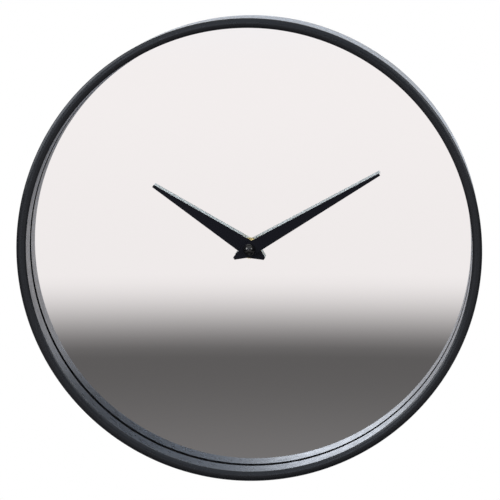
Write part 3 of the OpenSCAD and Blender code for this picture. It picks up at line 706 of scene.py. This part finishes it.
def make_minus(face_y):
    """A minus sign: one bar."""
    centre = (-SIGN_X, face_y, SIGN_ROW_Z)
    minus = add_grid("minus_sign", 1, centre)
    edit_all(minus)
    bpy.ops.transform.resize(value=(1, 1, 1 / SIGN_CELLS), center_override=centre)
    end_edit()
    return minus


def make_arrow(face_y):
    """A curved arrow with a head at each end, over the knob's well."""
    centre = (KNOB_X, face_y, KNOB_Z)
    middle = (ARROW_OUTER + ARROW_INNER) / 2
    narrow = ARROW_INNER / ARROW_OUTER
    reach = HEAD_REACH * (ARROW_OUTER - ARROW_INNER)

    def off_band(point):
        angle = math.degrees(math.atan2(point.z - KNOB_Z, point.x - KNOB_X))
        return not ARROW_FIRST - ARROW_SLACK < angle < ARROW_LAST + ARROW_SLACK

    start_fresh()
    bpy.ops.mesh.primitive_circle_add(
        vertices=ARROW_STEPS, radius=ARROW_OUTER, location=centre, rotation=ACROSS_Y)
    arrow = named("setting_arrow")
    settle(arrow)
    edit_where(arrow, off_band)
    bpy.ops.mesh.delete(type="VERT")
    bpy.ops.mesh.select_all(action="SELECT")
    draw_out((0, 0, 0), (narrow, 1, narrow), centre)
    end_edit()
    for end, way in ((ARROW_FIRST, -1), (ARROW_LAST, 1)):
        a = math.radians(end)
        place = Vector((KNOB_X + middle * math.cos(a), face_y, KNOB_Z + middle * math.sin(a)))
        ahead = Vector((-math.sin(a), 0, math.cos(a))) * way * HEAD_LONG
        edit_where(arrow, lambda point: (point - place).length < reach)
        draw_out((0, 0, 0), (HEAD_WIDE, 1, HEAD_WIDE), place)
        draw_out(ahead, (HEAD_TIP, 1, HEAD_TIP), place + ahead)
        end_edit()
    return arrow


def make_signs():
    """The signs for the cell's ends and the setting knob, each drawn out flat from the cover."""
    face_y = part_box("movement_cover")[1].y
    for sign in (make_plus(face_y), make_minus(face_y), make_arrow(face_y)):
        edit_all(sign)
        bpy.ops.mesh.extrude_region_move(TRANSFORM_OT_translate={"value": (0, SIGN_H, 0)})
        end_edit()
        clean(sign, SIGN_SHARP)
        finish_piece(sign, "case", "case_plastic", POLISHED)


make_signs()


# Studio

FLOOR_Z = -2.4
FLOOR_SIZE = 60
WHITE = (1, 1, 1, 1)
FLOOR_GREY = (0.82, 0.82, 0.82, 1)
WORLD_TINT = (0.95, 0.97, 1.0, 1)
WORLD_LIGHT = 0.48
# Soft boxes: name, place, side and power
LAMPS = [
    ("soft box left", (-2.3, -1.9, 1.3), 1.6, 58),
    ("soft box right", (2.3, -1.9, 1.3), 1.3, 28),
    ("soft box rear", (-1.0, 2.2, 2.3), 1.2, 50),
]
SWEEP_R = 6.0
SWEEP_TOP = 6.0
SWEEP_STEPS = 96
# The sweep is open towards the wall from here on
SWEEP_END_Y = 0.5
# Section of the sweep from its top down and in over the floor: height, and reach as a share of its radius
SWEEP_SECTION = [(-1.6, 1.0), (-2.05, 0.97), (-2.3, 0.9), (-2.37, 0.78), (-2.37, 0.12)]
# Tones of the sweep's glow by its slope, which is height over distance: straight ahead, where painted shade
# makes it dark below, and beside that; painted light above, with a cool cast
WARM = (1.0, 0.952, 0.948)
COOL = (0.92, 0.97, 1.06)
AHEAD_TONES = [
    (-1.1, 0.08, WARM), (-0.5, 0.38, WARM), (-0.25, 0.19, WARM), (-0.185, 0.115, WARM), (-0.1425, 0.93, WARM),
    (-0.05, 0.96, WARM), (0.06, 1.0, COOL),
]
BESIDE_TONES = [
    (-1.1, 0.08, WARM), (-0.5, 0.5, WARM), (-0.25, 0.6, WARM), (-0.1425, 0.93, WARM), (-0.05, 0.96, WARM),
    (0.06, 1.0, COOL),
]
# Middle of the part straight ahead, its half width, and where the part beside it is reached
AHEAD_SIDE = -0.055
AHEAD_HALF, BESIDE_HALF = 0.13, 0.25
# Soft ovals of painted light and shade on the sweep by place, reach and level: painted shade round the
# camera, a painted bright panel, and painted shade for two side flags
PAINTED_LIGHT_AND_SHADE_OVALS = [
    ((0.12, 0.165), (0.26, 0.205), 0.0),
    ((-0.17, 0.11), (0.13, 0.13), 4.0),
    ((-1.0, 0.3), (0.68, 0.95), 0.05),
    ((1.0, 0.3), (0.68, 0.95), 0.05),
]
PATCH_CORE = 0.5
# Colour sockets of a Mix node, which share their names with its number sockets
MIX_A, MIX_B, MIX_RESULT = 6, 7, 2


def bare_tree(owner):
    """An empty node tree of a material or the world."""
    owner.use_nodes = True
    owner.node_tree.nodes.clear()
    return owner.node_tree


def end_in_sight(tree, sight, light, output):
    """Shows one shader to the camera, in gloss and through glass, and gives the light of another."""
    path = tree.nodes.new("ShaderNodeLightPath").outputs
    seen = number(tree, "MAXIMUM", path["Is Camera Ray"], path["Is Glossy Ray"])
    seen = number(tree, "MAXIMUM", seen, path["Is Transmission Ray"])
    either = put(tree, "ShaderNodeMixShader", Fac=seen)
    tree.links.new(light.outputs[0], either.inputs[1])
    tree.links.new(sight.outputs[0], either.inputs[2])
    put(tree, output, Surface=either.outputs[0])


def add_world():
    """World that is white in sight and gives a fainter, cooler light."""
    world = bpy.data.worlds.new("studio")
    bpy.context.scene.world = world
    tree = bare_tree(world)
    sight = put(tree, "ShaderNodeBackground", Color=WHITE, Strength=1.0)
    light = put(tree, "ShaderNodeBackground", Color=WORLD_TINT, Strength=WORLD_LIGHT)
    end_in_sight(tree, sight, light, "ShaderNodeOutputWorld")


def add_floor():
    """Wide floor that is white in sight and a pale matt grey to the light."""
    start_fresh()
    bpy.ops.mesh.primitive_plane_add(size=FLOOR_SIZE, location=(0, 0, FLOOR_Z))
    floor = named("floor")
    settle(floor)
    pale = bpy.data.materials.new("pale floor")
    tree = bare_tree(pale)
    white = put(tree, "ShaderNodeEmission", Color=WHITE, Strength=1.0)
    matt = put(tree, "ShaderNodeBsdfDiffuse", Color=FLOOR_GREY)
    end_in_sight(tree, white, matt, "ShaderNodeOutputMaterial")
    floor.data.materials.append(pale)


def painted_oval(tree, heading, place, reach, level):
    """A soft oval on the sweep, where its glow goes from 1 to another level: painted shade below 1, painted
    light above it.
    """
    share = vector(tree, "DIVIDE", vector(tree, "SUBTRACT", heading, (*place, 0)), (*reach, 1))
    return put_range(tree, length(tree, share), PATCH_CORE, 1.0, level, 1.0, "SMOOTHSTEP")


def sweep_tone(tree, slope, tones):
    """Colour of the sweep by its slope, through tinted grey stops."""
    lowest, highest = tones[0][0], tones[-1][0]
    stops = []
    for at, grey, tint in tones:
        stops.append(((at - lowest) / (highest - lowest), tuple(grey * part for part in tint)))
    return put_ramp(tree, put_range(tree, slope, lowest, highest), stops, "EASE")


def sweep_material():
    """Glow of the sweep by direction: x and height, each over the distance from the clock's middle."""
    # Material of the sweep's glow: painted light, with painted shade below and in its ovals
    grey = bpy.data.materials.new("sweep of painted light and shade")
    tree = bare_tree(grey)
    place = tree.nodes.new("ShaderNodeTexCoord").outputs["Object"]
    parts = put(tree, "ShaderNodeSeparateXYZ", Vector=place).outputs
    away = length(tree, vector(tree, "MULTIPLY", place, (1, 1, 0)))
    side = number(tree, "DIVIDE", parts["X"], away)
    slope = number(tree, "DIVIDE", parts["Z"], away)
    heading = put(tree, "ShaderNodeCombineXYZ", X=side, Y=slope).outputs["Vector"]
    aside = number(tree, "ABSOLUTE", number(tree, "SUBTRACT", side, AHEAD_SIDE))
    tone = tree.nodes.new("ShaderNodeMix")
    tone.data_type = "RGBA"
    give(tree, tone.inputs["Factor"], put_range(tree, aside, AHEAD_HALF, BESIDE_HALF, ease="SMOOTHSTEP"))
    give(tree, tone.inputs[MIX_A], sweep_tone(tree, slope, AHEAD_TONES))
    give(tree, tone.inputs[MIX_B], sweep_tone(tree, slope, BESIDE_TONES))
    level = 1.0
    for patch in PAINTED_LIGHT_AND_SHADE_OVALS:
        level = number(tree, "MULTIPLY", level, painted_oval(tree, heading, *patch))
    # The sweep's glow is painted light, with painted shade where it is darker
    glow = put(tree, "ShaderNodeEmission", Color=tone.outputs[MIX_RESULT], Strength=level)
    put(tree, "ShaderNodeOutputMaterial", Surface=glow.outputs[0])
    return grey


def add_sweep():
    """A half-round sweep before the clock that glows with painted light and shade, which its mirror shows:
    pale at eye height, darker below.
    """
    start_fresh()
    bpy.ops.mesh.primitive_circle_add(vertices=SWEEP_STEPS, radius=SWEEP_R, location=(0, 0, SWEEP_TOP))
    sweep = named("sweep")
    settle(sweep)
    edit_where(sweep, lambda point: point.y > SWEEP_END_Y)
    bpy.ops.mesh.delete(type="VERT")
    bpy.ops.mesh.select_all(action="SELECT")
    height, reach = SWEEP_TOP, 1.0
    for next_height, next_reach in SWEEP_SECTION:
        grow = next_reach / reach
        draw_out((0, 0, next_height - height), (grow, grow, 1))
        height, reach = next_height, next_reach
    end_edit()
    sweep.data.materials.append(sweep_material())
    sweep.visible_camera = False


def add_lamp(name, place, side, watts):
    """A square soft box that looks at the clock."""
    box = bpy.data.lights.new(name, "AREA")
    box.energy = watts
    box.size = side
    lamp = bpy.data.objects.new(name, box)
    lamp.location = place
    lamp.rotation_mode = "QUATERNION"
    lamp.rotation_quaternion = (-Vector(place)).to_track_quat("-Z", "Y")
    bpy.context.scene.collection.objects.link(lamp)


add_world()
add_floor()
add_sweep()
for lamp_facts in LAMPS:
    add_lamp(*lamp_facts)

bpy.context.scene.view_settings.view_transform = "Standard"
